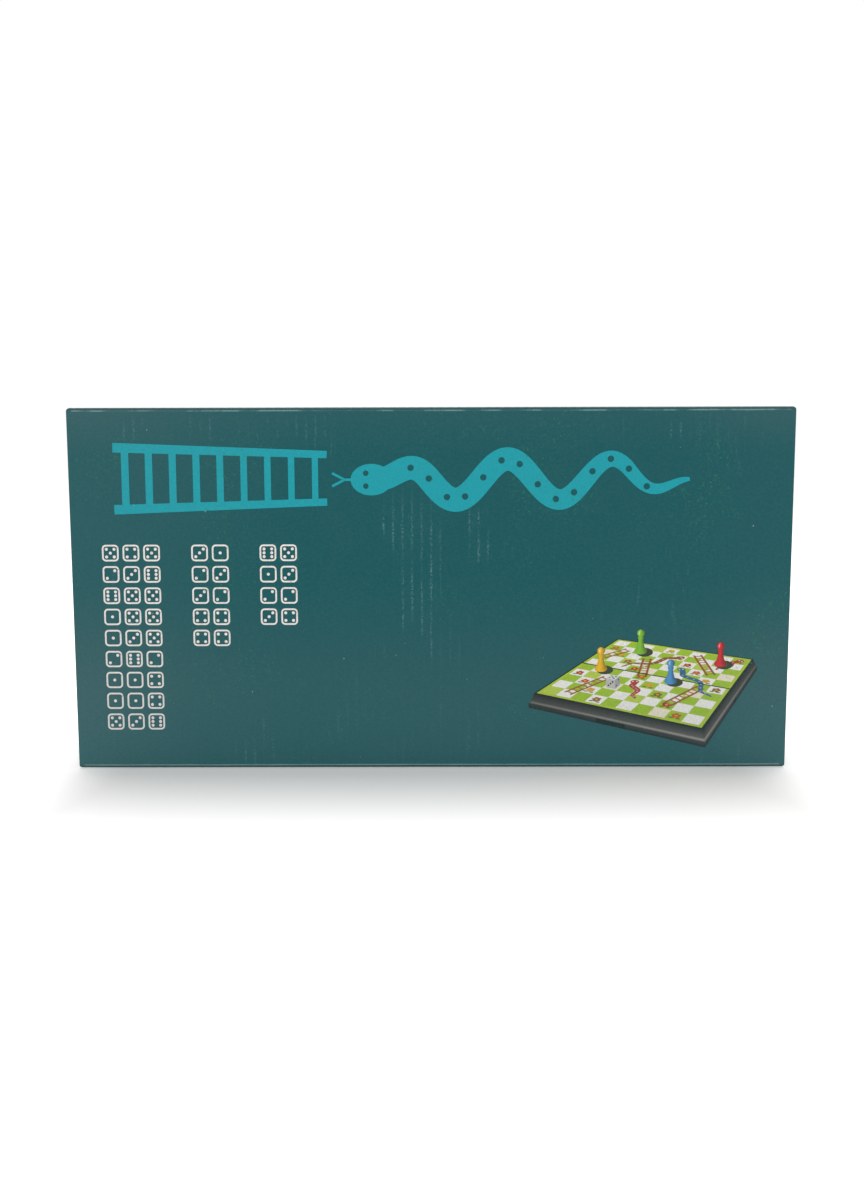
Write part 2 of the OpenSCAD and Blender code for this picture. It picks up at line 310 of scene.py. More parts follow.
def hazeShare(place, x, z):
    # Milky veil: slow clouds, and more toward the ends, the foot and the top, most in the corners; toward the
    # foot it is partly painted light that pales the shade there
    head = ramp(z, wear["headFrom"], cartonHeight)
    foot = ramp(z, wear["footFull"], wear["footFrom"], 1.0, 0.0)
    ends = ramp(calc("ABSOLUTE", x), wear["cornerFrom"] * halfLength, halfLength)
    return joined("ADD", (
        pattern(place, "clouds", wear["clouds"]),
        ramp(x, -halfLength, wear["leftFrom"], wear["leftHaze"], 0.0),
        ramp(x, wear["rightFrom"], halfLength, 0.0, wear["rightHaze"]),
        product(foot, wear["footHazeAndPaintedLight"]),
        product(head, wear["headHaze"]),
        product(calc("MAXIMUM", head, foot), ends, wear["cornerHaze"]),
    ))


def scuffShare(place, x, z, grains):
    # Rubbed flute crests: a wave across the wall, times rubbed boxes and clouds, times broken grains
    wave = calc("ADD", x, sway(place, *wear["wobble"]))
    wave = calc("COSINE", product(wave, 2 * np.pi / flute["pitch"]))
    rubbed = pattern(place, "rubbed", wear["rubbedClouds"])
    for left, right, low, high, foot, share in wear["rubbed"]:
        inX = between(x, left, right, wear["boxFade"], wear["boxFade"])
        inZ = between(z, low, high, foot, wear["boxFade"])
        rubbed = calc("MAXIMUM", rubbed, product(inX, inZ, share))
    crest = ramp(wave, wear["crest"], 1.0, *wear["scuff"])
    fades = pattern(place, "fades")
    return product(crest, rubbed, grains, fades, clearOfEnds(x, *wear["scuffClear"]))


def edgeShare(y, z):
    # Painted shade: dark bands beyond the creases of the front and back, deeper at the top than at the foot
    start, full = wear["shadeFrom"], wear["shadeTo"]
    onFold = ramp(calc("ABSOLUTE", y), halfDepth - start, halfDepth)
    top = ramp(z, cartonHeight - start, cartonHeight - full, 0.0, wear["topShade"])
    foot = ramp(z, full, start, wear["footShade"], 0.0)
    return product(calc("ADD", top, foot), onFold)


def creaseShare(place, x, z, fibre):
    # Worn crease lines: a narrow ridge at each crease's height, broken at the top, nearly whole at the foot
    wander = sway(place, *printed["wander"])
    width, inset = printed["creaseWidth"], printed["creaseIn"]
    lines = []
    for height, shares in ((cartonHeight - inset, printed["topCrease"]), (inset, printed["footCrease"])):
        gap = calc("ABSOLUTE", calc("ADD", calc("SUBTRACT", z, height), wander))
        ridge = ramp(gap, printed["creaseCore"] * width, width, 1.0, 0.0)
        along = noise(place, 130, 4, stretch=(1, 0.1, 0.1), shift=(height, 0, 0))
        lines.append(product(ridge, ramp(along, 0.40, 0.60, *shares)))
    worn = calc("ADD", lines[0], lines[1], clamp=True)
    clear = clearOfEnds(x, *printed["creaseClear"])
    return product(worn, clear, ramp(fibre, 0.3, 0.6, 0.6, 0.9))


def printedPaper(name, inked=False):
    # Coated paper print: teal, or the piece's own inks, with each kind of wear blended over in turn, and with
    # it painted sheen and haze lift toward the foot and painted shade in bands beyond the creases
    material, shader, place = newMaterial(name)
    x, y, z = (calc("DIVIDE", v, mm) for v in splitPlace(place))
    fibre = noise(place, printed["fibre"], 2, stretch=(1, 1, 0.4))
    grains = pattern(place, "grains")
    haze = hazeShare(place, x, z)
    worn = creaseShare(place, x, z, fibre)
    hazeSheenCover = wear["inkHazeAndSheen"] if inked else 1.0
    colour = pointInk(shader) if inked else srgb(*printed["teal"])
    for share, tone in (
        # Haze, which toward the foot is partly painted light
        (product(haze, hazeSheenCover), "haze"),
        # Painted sheen: a paler teal toward the foot, painted light that lifts the shade there
        (ramp(z, 0.0, wear["sheenHigh"], wear["paintedFootSheen"] * hazeSheenCover, 0.0), "sheen"),
        (scuffShare(place, x, z, grains), "scuff"),
        (product(pattern(place, "rubLines"), pattern(place, "rubClouds", wear["rub"]), grains), "scuff"),
        (product(pattern(place, "dots", wear["mould"]), pattern(place, "dusty")), "mould"),
        (pattern(place, "specks", wear["speck"]), "speck"),
        (pattern(place, "grain", wear["grain"]), "haze"),
        (pattern(place, "mottle", wear["mottle"]), "shadeAndMottle"),
        # Painted shade in dark bands beyond the creases
        (edgeShare(y, z), "shadeAndMottle"),
        (worn, "crease"),
    ):
        colour = blendColour(share, colour, srgb(*printed[tone]))
    rough = calc("ADD", product(haze, printed["hazeRough"]), printed["rough"])
    dress(shader, colour, rough, printed["gloss"])
    bump(shader, calc("ADD", fibre, product(worn, 1.5)), 0.12, 0.00006)
    return material


liner = dict(inside=(176, 157, 132), edge=(158, 136, 108), fleck=(120, 98, 74))


def bareBoard(name, tone):
    # Unprinted recycled paper: soft mottling, fibre flecks and a matt face
    material, shader, place = newMaterial(name)
    mottle = ramp(noise(place, 90, 4), 0.3, 0.7, 0.0, 0.22)
    colour = blendColour(mottle, srgb(*tone), srgb(*liner["fleck"]))
    flecks = ramp(noise(place, 1500, 1, stretch=(1, 0.5, 0.35)), 0.70, 0.80, 0.0, 0.6)
    colour = blendColour(flecks, colour, srgb(*liner["fleck"]))
    dress(shader, colour, 0.85, 0.2)
    bump(shader, noise(place, 1900, 3), 0.25, 0.0001)
    return material


cartonPaper = printedPaper("cartonPrint")
inkedPaper = printedPaper("cartonInk", inked=True)
insideLiner = bareBoard("insideLiner", liner["inside"])
cutEdge = bareBoard("cutEdge", liner["edge"])
boardLayers = [cartonPaper, insideLiner, cutEdge]
print("materials of the carton are ready")


# Corrugated carton: each panel and flap is two liners over a fluted middle, in mm
relief = dict(depth=0.05, fade=12)
panelPoints = dict(turn=8, rise=22, flat=6)
flaps = dict(
    tuckLean=10.5, tuckCorner=7.0, dustTaper=0.56, crushed=1.0, rootOver=0.3, rootSwell=0.985, waveShort=0.05,
)


def frontRelief(x, z):
    # Slow swells of the front: waves across and up it, fading out at its edges
    fade = np.clip((halfLength - np.abs(x)) / relief["fade"], 0, 1)
    fade = fade * np.clip(np.minimum(z, cartonHeight - z) / relief["fade"], 0, 1)
    waves = np.sin(x / 31 + 1.3) * np.sin(z / 23 + 0.4) + 0.5 * np.sin(x / 13 + z / 19)
    return relief["depth"] * fade * waves


def ripple(x):
    # Flutes that show through the outer liner: a cosine at their pitch
    return flute["ripple"] * np.cos(2 * np.pi * x / flute["pitch"])


def fluteSteps(low, high, perFlute=8):
    # Even steps from low to high, so many to a flute
    return np.linspace(low, high, int((high - low) / flute["pitch"] * perFlute) + 2)


def roundedFace(x, s, h):
    # The front face: a flat between two quarter rounds, its corners cut round; s runs up it, h stands out
    r = boardThick
    arc = np.pi / 2 * r
    flat = cartonHeight - 2 * r
    lowTurn = np.clip(s / r, 0, np.pi / 2)
    highTurn = np.clip((s - arc - flat) / r, 0, np.pi / 2)
    rise = np.clip(s - arc, 0, flat)
    onLow = s < arc
    turnY = np.where(onLow, np.sin(lowTurn), np.cos(highTurn))
    turnZ = np.where(onLow, -np.cos(lowTurn), np.sin(highTurn))
    z = r + rise + (r + h) * turnZ
    corner = printed["cornerRound"]
    inset = np.clip(corner - np.minimum(z, cartonHeight - z), 0, corner)
    reach = halfLength - corner + np.sqrt(corner**2 - inset**2)
    x = x * reach / halfLength
    y = frontFace + r - (r + h) * turnY - frontRelief(x, z)
    return np.stack([x, y, z], -1)


def turnedFace(x, s, h):
    # The front face turned half round about the upright axis
    return roundedFace(x, s, h) * np.array([-1, -1, 1])


def topFace(x, v, h):
    # Flat, h above the carton's top
    return np.stack([x, v, cartonHeight + h], -1)


def bottomFace(x, v, h):
    # Flat, h below the carton's foot, with v the other way so that it faces down
    return np.stack([x, -v, -h], -1)


def panelGroups(half, low, high, stations, place, innermost):
    # From the outside in: a rippled liner, a core set back from the cut ends, and a plain liner
    steps = fluteSteps(-half, half)
    core = np.array([-half + flute["recess"], half - flute["recess"]])
    inner = np.array([-half, half])
    thin = flute["liner"]
    groups = []
    for across, upper, lower, slots in (
        (steps, ripple(steps), -thin, (0, 2, 2, 2)),
        (core, -thin, thin - boardThick, (2, 2, 2, 2)),
        (inner, thin - boardThick, innermost - boardThick, (1, 1, 2, 2)),
    ):
        groups += ribbon(across, upper, lower, low, high, stations, place, slots)
    return groups


def addPanels():
    # Front and back run round a quarter turn, up and round another; top and bottom lie flat
    arc = np.pi / 2 * boardThick
    around = cartonHeight - 2 * boardThick + 2 * arc
    turn = np.linspace(0, arc, panelPoints["turn"])
    straight = np.linspace(arc, around - arc, panelPoints["rise"])[1:-1]
    rise = np.concatenate([turn, straight, around - arc + turn]) / around
    flat = np.linspace(0, 1, panelPoints["flat"])
    for node, low, high, stations, place, innermost in (
        ("front_panel", 0, around, rise, roundedFace, flute["inner"]),
        ("back_panel", 0, around, rise, turnedFace, flute["inner"]),
        ("top_panel", -halfDepth, halfDepth, flat, topFace, 0),
        ("bottom_panel", -halfDepth, halfDepth, flat, bottomFace, 0),
    ):
        groups = panelGroups(nodeBox(node)[1][0], low, high, stations, place, innermost)
        piece = makePiece(node + "_board", groups, boardLayers)
        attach(piece, "carton")
        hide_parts(node)


def flapGroups(length, lowEdge, highEdge, place):
    # A half-round root at the crease, then two skins with a cosine wave between them.
    # lowEdge and highEdge give the outline along the crease, at a distance from it.
    half = boardThick / 2
    thin = flute["liner"]
    crushed = flaps["crushed"]
    root = np.concatenate([-half * np.cos(np.linspace(0.02, np.pi / 2, 10)), [crushed + flaps["rootOver"]]])
    swell = flaps["rootSwell"] * np.sqrt(np.maximum(half**2 - np.minimum(root, 0) ** 2, 0))
    ends = np.array([0.0, 1.0])
    skin = fluteSteps(crushed, length)
    wave = fluteSteps(crushed, length - flaps["waveShort"], 12)
    middle = (half - thin - flute["wave"] / 2) * np.cos(2 * np.pi * wave / flute["pitch"])
    groups = []
    for across, upper, lower, slots in (
        (root, swell, -swell, (0, 1, 2, 2)),
        (skin, half + ripple(skin), half - thin, (0, 2, 2, 2)),
        (skin, thin - half, -half, (2, 1, 2, 2)),
        (wave, middle + flute["wave"] / 2, middle - flute["wave"] / 2, (2, 2, 2, 2)),
    ):
        out = np.maximum(across, 0)
        groups += ribbon(across, upper, lower, lowEdge(out), highEdge(out), ends, place, slots)
    return groups


def addFlaps():
    # Each end has a lid on the back panel, a tongue leaning in from the lid's far edge and two dust flaps;
    # l runs out from a flap's crease, w along the crease and h outward
    for side, sign in (("right", 1), ("left", -1)):
        low, high = nodeBox(side + "_lid")
        lidX = max(abs(low[0]), abs(high[0])) - boardThick / 2
        lidY = high[1] - boardThick / 2
        middle = (low[2] + high[2]) / 2
        lidHalf = (high[2] - low[2]) / 2

        def lidPlace(l, w, h):
            return np.stack([sign * (lidX + h), lidY - l, middle - sign * w], -1)

        tuckLow, tuckHigh = nodeBox(side + "_tuck")
        tuckHalf = (tuckHigh[2] - tuckLow[2]) / 2
        tuckY = tuckLow[1] + boardThick / 2
        lean = np.radians(flaps["tuckLean"])
        tuckReach = lidX - min(abs(tuckLow[0]), abs(tuckHigh[0])) - boardThick / 2 * np.sin(lean)
        tuckLength = tuckReach / np.cos(lean)
        corner = flaps["tuckCorner"]

        def tuckPlace(l, w, h):
            x = lidX - l * np.cos(lean) - h * np.sin(lean)
            return np.stack([sign * x, tuckY + l * np.sin(lean) - h * np.cos(lean), middle - sign * w], -1)

        def tuckEdge(l):
            past = np.clip(l - (tuckLength - corner), 0, corner)
            return tuckHalf - corner + np.sqrt(corner**2 - past**2)

        lidLength = high[1] - low[1] - boardThick / 2
        addFlap(side + "_lid", lidLength, lambda l: -lidHalf, lambda l: lidHalf, lidPlace)
        addFlap(side + "_tuck", tuckLength, lambda l: -tuckEdge(l), tuckEdge, tuckPlace)
        for end, up in (("top", 1), ("bottom", -1)):
            addDustFlap(side + "_dust_" + end, sign, up)


def addDustFlap(node, sign, up):
    # From its crease toward the carton's middle, the rear edge tapering in step with the distance
    low, high = nodeBox(node)
    dustX = (abs(low[0]) + abs(high[0])) / 2
    rootZ = high[2] - boardThick / 2 if up > 0 else low[2] + boardThick / 2
    length = high[2] - low[2] - boardThick / 2
    way = sign * up

    def dustPlace(l, w, h):
        return np.stack([sign * (dustX + h), way * w, rootZ - up * l], -1)

    def rear(l):
        return high[1] - flaps["dustTaper"] * l

    if way > 0:
        addFlap(node, length, lambda l: low[1], rear, dustPlace)
    else:
        addFlap(node, length, lambda l: -rear(l), lambda l: -low[1], dustPlace)


def addFlap(node, length, lowEdge, highEdge, place):
    # One flap, riding on the body of its own name
    piece = makePiece(node + "_board", flapGroups(length, lowEdge, highEdge, place), boardLayers)
    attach(piece, node)
    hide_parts(node)


addCamera()
addPanels()
addFlaps()
print("carton panels and flaps are built")


# Flat printing: each patch is a grid of (a, b) points, their ink colours and its layer in the pile
def patch(points, colour, layer=0):
    # A grid's points, with one colour for all of them or one for each
    return points, np.broadcast_to(colour, points.shape[:-1] + (3,)), layer


def inkColour(tone):
    # Linear light of a screen colour, for points
    return np.array(srgb(*tone)[:3])


def rectangle(x0, y0, x1, y1):
    # Its corners, anticlockwise
    return np.array([(x0, y0), (x1, y0), (x1, y1), (x0, y1)])


def quadPatch(p, colour, layer=0, steps=2):
    # Corners run anticlockwise; the grid between them follows straight lines
    u = np.linspace(0, 1, steps)[None, :, None]
    v = np.linspace(0, 1, steps)[:, None, None]
    return patch((1 - v) * ((1 - u) * p[0] + u * p[1]) + v * ((1 - u) * p[3] + u * p[2]), colour, layer)


def strokePatch(path, width, colour, layer=0):
    # A line of ink: the path pushed half its width to each side
    run = np.gradient(path, axis=0)
    length = np.maximum(np.hypot(run[:, 0], run[:, 1]), 1e-9)[:, None]
    side = np.stack([-run[:, 1], run[:, 0]], -1) / length
    half = np.broadcast_to(np.divide(width, 2), len(path))[:, None]
    return patch(np.stack([path - side * half, path + side * half]), colour, layer)


def discGrid(count):
    # A square grid pressed into a circle of radius one, with no pinched middle
    u, v = np.meshgrid(np.linspace(-1, 1, count), np.linspace(-1, 1, count))
    return np.stack([u * np.sqrt(1 - v**2 / 2), v * np.sqrt(1 - u**2 / 2)], -1)


def discPatch(centre, radii, colour, layer=0, count=6):
    # A disc or an oval of ink: the round grid times its radii
    return patch(centre + discGrid(count) * radii, colour, layer)


def loopPath(centre, half, corner, count=6):
    # A closed square outline with round corners
    turn = np.linspace(0, np.pi / 2, count)
    corners = []
    for k, (sx, sy) in enumerate(((1, 1), (-1, 1), (-1, -1), (1, -1))):
        arc = np.stack([np.cos(turn + k * np.pi / 2), np.sin(turn + k * np.pi / 2)], -1) * corner
        corners.append(arc + np.array([sx, sy]) * (half - corner))
    path = np.concatenate(corners)
    return np.concatenate([path, path[:2]]) + centre


def patchPiece(name, patches, place, material, keep=None):
    # All patches as one piece; keep, where given, picks quads by their middles
    groups, colours = [], []
    for points, colour, layer in patches:
        rows, columns = points.shape[:2]
        quads = gridQuads(rows, columns)
        flat = points.reshape(-1, 2)
        if keep is not None:
            quads = quads[keep(flat[quads].mean(1))]
        if len(quads):
            used, quads = np.unique(quads, return_inverse=True)
            a, b = flat[used].T
            groups.append((place(a, b, layer), quads.reshape(-1, 4), 0))
            colours.append(colour.reshape(-1, 3)[used])
    return makePiece(name, groups, [material], np.concatenate(colours), smooth=False)


# The game's own design, on a board one unit square with its fold along b = 0
game = dict(
    squares=10, face=0.47, sheet=0.49, border=(186, 212, 58), ladder=(158, 96, 48), rung=(190, 132, 74),
    checks=((168, 206, 50), (255, 253, 248), (194, 218, 84), (250, 242, 218)),
    snakes=((186, 66, 44), (62, 112, 150), (150, 92, 34)), eye=(0.95, 0.95, 0.9),
    petals=((214, 92, 40), (188, 40, 44), (150, 104, 60), (226, 178, 60)), leaf=(88, 122, 40),
    ladders=(((1, 0), (2, 3)), ((7, 1), (8, 4)), ((4, 4), (3, 7)), ((8, 6), (6, 9)), ((0, 6), (1, 8))),
    snakeRuns=((0, (5, 1), (4, 3)), (1, (9, 3), (6, 6)), (2, (2, 5), (5, 8)), (0, (8, 7), (9, 9))),
)
ladder = dict(half=0.024, every=0.036, rung=0.012, rail=0.014, inset=0.06)
snake = dict(
    sway=0.026, swayShare=0.075, waves=1.5, tail=0.010, body=0.026, head=0.026, neck=0.012, spot=0.007,
    eye=0.006, eyeAhead=0.004, eyeAside=0.012,
)
flower = dict(ring=0.016, petal=0.011, middle=0.009, leafOut=0.020, leafDown=-0.027, leaf=(0.014, 0.006))


def squarePlace(column, row):
    # The middle of a square: so many steps and a half from the corner
    step = 2 * game["face"] / game["squares"]
    return (np.array([column, row]) + 0.5) * step - game["face"]


def leftOf(run):
    # A run turned a quarter to its left, of length one
    return np.array([-run[1], run[0]]) / np.hypot(*run)


def ladderPatches(foot, head, layer):
    # Rungs at even steps of the line from foot to head, under two rails beside it
    foot, head = squarePlace(*foot), squarePlace(*head)
    run = head - foot
    side = leftOf(run) * ladder["half"]
    count = int(np.hypot(*run) / ladder["every"])
    steps = np.linspace(0, 1, 24)[:, None]
    for k in np.linspace(ladder["inset"], 1 - ladder["inset"], count):
        rung = foot + run * k + side * np.linspace(-1, 1, 3)[:, None]
        yield strokePatch(rung, ladder["rung"], inkColour(game["rung"]), layer)
    for sign in (-1, 1):
        rail = foot + side * sign + run * steps
        yield strokePatch(rail, ladder["rail"], inkColour(game["ladder"]), layer + 1)


def snakePath(tail, head, sway, waves, count=70):
    # A sine to both sides of the line from tail to head, calm at both ends
    t = np.linspace(0, 1, count)[:, None]
    run = np.subtract(head, tail)
    swing = np.sin(2 * np.pi * waves * t) * np.clip(5 * t, 0, 1) * np.clip(6 * (1 - t), 0, 1)
    return tail + run * t + leftOf(run) * sway * swing


def snakePatches(tail, head, colour, layer):
    # A body as wide as the first part of a sine, spots along it, and a round head with two eyes
    tail, head = squarePlace(*tail), squarePlace(*head)
    sway = min(snake["sway"], snake["swayShare"] * np.hypot(*(head - tail)))
    path = snakePath(tail, head, sway, snake["waves"])
    t = np.linspace(0, 1, len(path))
    width = snake["tail"] + snake["body"] * np.sin(np.pi * np.clip(t * 0.62, 0, 1)) ** 0.8
    tone = inkColour(colour)
    ahead = path[-1] - path[-2]
    ahead = ahead / np.hypot(*ahead)
    nose = path[-1] + ahead * snake["neck"]
    yield strokePatch(path, width, tone, layer)
    for spot in path[8:-6:7]:
        yield discPatch(spot, snake["spot"], tone * 0.45 + 0.35, layer + 1, 4)
    yield discPatch(nose, snake["head"], tone, layer + 1)
    for sign in (-1, 1):
        place = nose + ahead * snake["eyeAhead"] + leftOf(ahead) * snake["eyeAside"] * sign
        yield discPatch(place, snake["eye"], game["eye"], layer + 2, 4)


def flowerPatches(column, row, layer):
    # Two leaves and five petals round a middle, turned by the square's number
    centre = squarePlace(column, row)
    ring = 0.7 * column + 1.9 * row + np.arange(5) * 2 * np.pi / 5
    tone = inkColour(game["petals"][(2 * column + 3 * row) % 4])
    for angle in ring:
        place = centre + flower["ring"] * np.array([np.cos(angle), np.sin(angle)])
        yield discPatch(place, flower["petal"], tone, layer, 4)
    for side in (-1, 1):
        place = centre + np.array([flower["leafOut"] * side, flower["leafDown"]])
        yield discPatch(place, flower["leaf"], inkColour(game["leaf"]), layer, 4)
    yield discPatch(centre, flower["middle"], inkColour(game["petals"][3]), layer + 1, 4)


def gamePatches():
    # A border under checks of two tones, some of them paler, then flowers, ladders and snakes
    face, count, rim = game["face"], game["squares"], game["sheet"]
    edges = np.linspace(-face, face, count + 1)
    tones = [inkColour(tone) for tone in game["checks"]]
    yield quadPatch(rectangle(-rim, -rim, rim, rim), inkColour(game["border"]), 0, 41)
    for row in range(count):
        for column in range(count):
            tone = tones[(row + column) % 2 + 2 * ((3 * row + 5 * column) % 7 == 0)]
            corners = rectangle(edges[column], edges[row], edges[column + 1], edges[row + 1])
            yield quadPatch(corners, tone, 1)
            if (2 * row + 7 * column) % 5 == 1:
                yield from flowerPatches(column, row, 2)
    for foot, head in game["ladders"]:
        yield from ladderPatches(foot, head, 3)
    for tone, tail, head in game["snakeRuns"]:
        yield from snakePatches(tail, head, game["snakes"][tone], 5)


# Lines of a plain numeral, in a box one wide and two high
numeralLines = dict(a=((0, 2), (1, 2)), b=((1, 1), (1, 2)), c=((1, 0), (1, 1)), d=((0, 0), (1, 0)),
                    e=((0, 0), (0, 1)), f=((0, 1), (0, 2)), g=((0, 1), (1, 1)))
numeral = dict(corner=(-0.040, 0.022), size=0.008, every=0.0125, line=0.0022, ink=(70, 80, 60))
numerals = ("abcdef", "bc", "abged", "abgcd", "fgbc", "afgcd", "afgedc", "abc", "abcdefg", "abcfgd")


def numberPatches(layer):
    # Squares count up in rows that turn back at each end
    count = game["squares"]
    ink = inkColour(numeral["ink"])
    for number in range(1, count * count + 1):
        row, step = divmod(number - 1, count)
        column = step if row % 2 == 0 else count - 1 - step
        corner = squarePlace(column, row) + np.array(numeral["corner"])
        for place, digit in enumerate(str(number)):
            start = corner + np.array([numeral["every"] * place, 0])
            for line in numerals[int(digit)]:
                ends = np.array(numeralLines[line]) * numeral["size"] + start
                yield strokePatch(ends, numeral["line"], ink, layer)


# Print on the carton's front, in mm from its middle and its foot: a ladder and a snake along the top,
# columns of dice faces at the left, and a picture of the open board at the lower right
frontPrint = dict(
    lift=0.05, pile=0.012,
    ladder=(-113, -37, 94.5, 116.5), ladderTaper=2.6, rail=3.4, railTaper=0.8, rung=2.7, rungTaper=0.5,
    rungs=9, snake=(92, -19, 105), sway=7.2, waves=3, tail=1.2, body=7.4, neck=2.2, head=(7.4, 5.6),
    spot=1.15, eye=1.0, eyePlace=(-2.0, 2.3), tongueLine=0.9, tongue=((-7.0, 0), (-8.5, 0), (-10.2, 0)),
    fork=((-9.8, 0.1), (-12.0, 1.3), (-14.0, 2.3)),
    die=6.0, dieEvery=7.7, dieLine=0.62, dieCorner=1.1, pip=0.55, pipSpread=0.46, columnTop=82,
    columns=((-115, 9), (-107.6, 9), (-100.2, 9), (-83, 5), (-75.6, 5), (-58.5, 4), (-51.1, 4)),
    picture=(31, 7.4, 122, 50.5), turn=-24, tip=24, distance=3.0, step=0.026, depth=0.085, headroom=0.05,
    sideRows=((0, 0, 0), (0.55, 0.5, 0.25), (0.55, 0.62, 0.9), (1, 0.66, 0.1), (1, 1, 0)),
    notches=(0.085, 0.02), black=(26, 25, 25), sheen=(186, 180, 172), fold=0.28, foldInk=(0.02, 0.02, 0.02),
    pictureDie=0.058, dieWhite=(236, 236, 232), pipInk=(0.03, 0.03, 0.03),
    pawns=(("green", (2, 8)), ("red", (8, 8)), ("blue", (6, 4)), ("yellow", (1, 4))),
)


def frontPlace(x, z, layer):
    # On the front face, lifted by the ink's place in the pile
    lift = frontPrint["lift"] + frontPrint["pile"] * layer
    return np.stack([x, frontFace - frontRelief(x, z) - lift, z], -1)


def topPatches():
    # Two rails that close in along their length, rungs between them, and a snake as wide as a sine
    p, ink, dark = frontPrint, inkColour(printed["topInk"]), inkColour(printed["teal"])
    x0, x1, z0, z1 = p["ladder"]
    steps = np.linspace(0, 1, 14)
    rails = []
    for z, way in ((z0, 1), (z1, -1)):
        rails.append(np.stack([x0 + (x1 - x0) * steps, z + way * p["ladderTaper"] * steps], -1))
        yield strokePatch(rails[-1], p["rail"] - p["railTaper"] * steps, ink)
    for k in (np.arange(p["rungs"]) + 0.5) / p["rungs"]:
        ends = [(x0 + (x1 - x0) * k, np.interp(k, steps, rail[:, 1])) for rail in rails]
        yield strokePatch(np.linspace(*ends, 3), p["rung"] - p["rungTaper"] * k, ink, 1)
    tail, head, middle = p["snake"]
    path = snakePath((tail, middle), (head, middle), p["sway"], p["waves"], 190)
    t = np.linspace(0, 1, len(path))
    yield strokePatch(path, p["tail"] + p["body"] * np.sin(np.pi * np.clip(t * 0.66, 0, 1)) ** 0.7, ink)
    nose = path[-1] - np.array([p["neck"], 0])
    yield discPatch(nose, p["head"], ink, 1, 12)
    for spot in path[26:-18:11]:
        yield discPatch(spot, p["spot"], dark, 2)
    for side in (-1, 1):
        yield discPatch(nose + np.array(p["eyePlace"]) * (1, side), p["eye"], dark, 2)
        yield strokePatch(nose + np.array(p["fork"]) * (1, side), p["tongueLine"], ink, 1)
    yield strokePatch(nose + np.array(p["tongue"]), p["tongueLine"], ink, 2)


def pipPlaces(count):
    # Where a die's face has its pips, in shares of half its side
    corners = [(-1, -1), (1, 1), (-1, 1), (1, -1)]
    spots = [(0, 0)] if count % 2 else []
    if count > 1:
        spots += corners[:2] if count < 4 else corners
    if count == 6:
        spots += [(-1, 0), (1, 0)]
    return np.array(spots) * frontPrint["pipSpread"]


def dicePatches():
    # Faces at even steps down each column: a round-cornered outline and the pips of a drawn number
    p, ink = frontPrint, inkColour(printed["creamInk"])
    order = iter(rng.permutation(np.arange(60)) % 6 + 1)
    for x, count in p["columns"]:
        for k in range(count):
            centre = np.array([x, p["columnTop"] - p["die"] / 2 - k * p["dieEvery"]])
            outline = loopPath(centre, p["die"] / 2 - p["dieLine"] / 2, p["dieCorner"])
            yield strokePatch(outline, p["dieLine"], ink)
            for spot in pipPlaces(next(order)):
                yield discPatch(centre + spot * p["die"] / 2, p["pip"], ink, 0, 5)


def pictureView(points):
    # Perspective of the printed board: turned about its middle and seen from above
    p = frontPrint
    turn, tip = np.radians(p["turn"]), np.radians(p["tip"])
    x, y, z = np.moveaxis(points, -1, 0)
    across = x * np.cos(turn) - y * np.sin(turn)
    away = x * np.sin(turn) + y * np.cos(turn)
    depth = p["distance"] + away * np.cos(tip) - z * np.sin(tip)
    return np.stack([across, z * np.cos(tip) + away * np.sin(tip)], -1) / depth[..., None]


def pictureFit():
    # Scale and shift that bring the seen board into its place on the front
    p = frontPrint
    reach = (-0.5 - p["step"], 0.5 + p["step"])
    heights = (p["headroom"], -p["depth"])
    seen = pictureView(np.array([(x, y, z) for x in reach for y in reach for z in heights]))
    low, high = seen.min(0), seen.max(0)
    room = np.array(p["picture"])
    scale = ((room[2:] - room[:2]) / (high - low)).min()
    return scale, (room[:2] + room[2:]) / 2 - scale * (low + high) / 2


pictureScale, pictureShift = pictureFit()


def inPicture(points):
    # Points of the printed board as places on the front
    return pictureView(points) * pictureScale + pictureShift


def onBoard(flat, height=0.0):
    # Flat points, all at one height over the board
    return np.concatenate([flat, np.full(flat.shape[:-1] + (1,), height)], -1)


def sidePoints(near, along, edge):
    # Points along the near side or the right side of a square, so far from its middle
    far = np.full(np.shape(along), edge)
    return np.stack([along, -far] if near else [far, along], -1)


def boardSidePatches():
    # The open board's near sides in rows of step, drop and fading gloss, a notch in each, and its black face
    p = frontPrint
    black, sheen = inkColour(p["black"]), inkColour(p["sheen"])
    along = np.linspace(-1, 1, 9)
    for near, notch in zip((True, False), p["notches"]):
        fade = 0.75 + 0.25 * along if near else 0.55 - 0.25 * along
        grid, shade = [], []
        for step, drop, gloss in p["sideRows"]:
            edge = 0.5 + p["step"] * step
            grid.append(inPicture(onBoard(sidePoints(near, along * edge, edge), -p["depth"] * drop)))
            shade.append(black + (sheen - black) * (gloss * fade)[:, None])
        yield patch(np.array(grid)[::-1], np.array(shade)[::-1], 0)
        line = sidePoints(near, np.array([-notch, notch]), 0.5 + p["step"] + 0.0005)
        low, high = onBoard(line, -p["depth"]), onBoard(line, -p["depth"] * p["sideRows"][3][1])
        yield quadPatch(inPicture(np.array([low[0], low[1], high[1], high[0]])), black * 0.35, 1)
    yield quadPatch(inPicture(onBoard(rectangle(-0.5, -0.5, 0.5, 0.5))), black * 0.8, 1, 5)


pawnForm = dict(
    tall=0.15, ball=0.16, ballMiddle=0.84, shadowInk=(0.045, 0.06, 0.03),
    shadow=((0.16, -0.02), (0.34, 0.18)),
    height=(0, 0.06, 0.12, 0.15, 0.22, 0.36, 0.54, 0.63, 0.66, 0.69),
    radius=(0.25, 0.25, 0.23, 0.19, 0.155, 0.12, 0.09, 0.12, 0.12, 0.09),
)
pawnInks = dict(red=(212, 40, 48), yellow=(242, 190, 36), blue=(84, 150, 204), green=(132, 194, 56))


